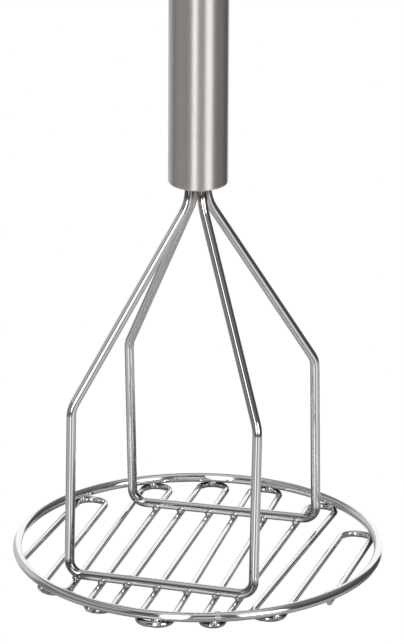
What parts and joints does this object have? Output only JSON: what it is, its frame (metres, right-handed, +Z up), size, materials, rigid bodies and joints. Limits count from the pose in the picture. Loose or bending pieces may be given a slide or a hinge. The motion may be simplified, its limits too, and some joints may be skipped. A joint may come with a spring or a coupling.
{
  "type": "potato masher",
  "caption": "Long-handled potato masher: a serpentine wire grid under a round rim, bent wire frames and a straight steel tube handle.",
  "frame": {"origin": "centre of the round rim, on the surface that the grid rests on", "axes": "+Z up along the handle, X along the frames' bottom bars, -Y towards the grid wire's free ends"},
  "size_m": [0.1602, 0.1606, 0.61],
  "materials": {
    "satin_steel": "satin, brushed round the tube",
    "bright_wire": "bright polished"
  },
  "bodies": {
    "root": {"front_frame": "bright_wire", "front_weld_1": "bright_wire", "front_weld_2": "bright_wire", "front_weld_3": "bright_wire", "front_weld_4": "bright_wire", "front_weld_5": "bright_wire", "front_weld_6": "bright_wire", "front_weld_7": "bright_wire", "handle_end_cap": "satin_steel", "handle_tube": "satin_steel", "mashing_grid": "bright_wire", "rear_frame": "bright_wire", "rear_weld_1": "bright_wire", "rear_weld_2": "bright_wire", "rear_weld_3": "bright_wire", "rear_weld_4": "bright_wire", "rear_weld_5": "bright_wire", "rear_weld_6": "bright_wire", "rim": "bright_wire", "rim_seam": "bright_wire", "rim_weld_1": "bright_wire", "rim_weld_10": "bright_wire", "rim_weld_11": "bright_wire", "rim_weld_12": "bright_wire", "rim_weld_13": "bright_wire", "rim_weld_2": "bright_wire", "rim_weld_3": "bright_wire", "rim_weld_4": "bright_wire", "rim_weld_5": "bright_wire", "rim_weld_6": "bright_wire", "rim_weld_7": "bright_wire", "rim_weld_8": "bright_wire", "rim_weld_9": "bright_wire", "wire_plug": "satin_steel"}
  },
  "joints": []
}
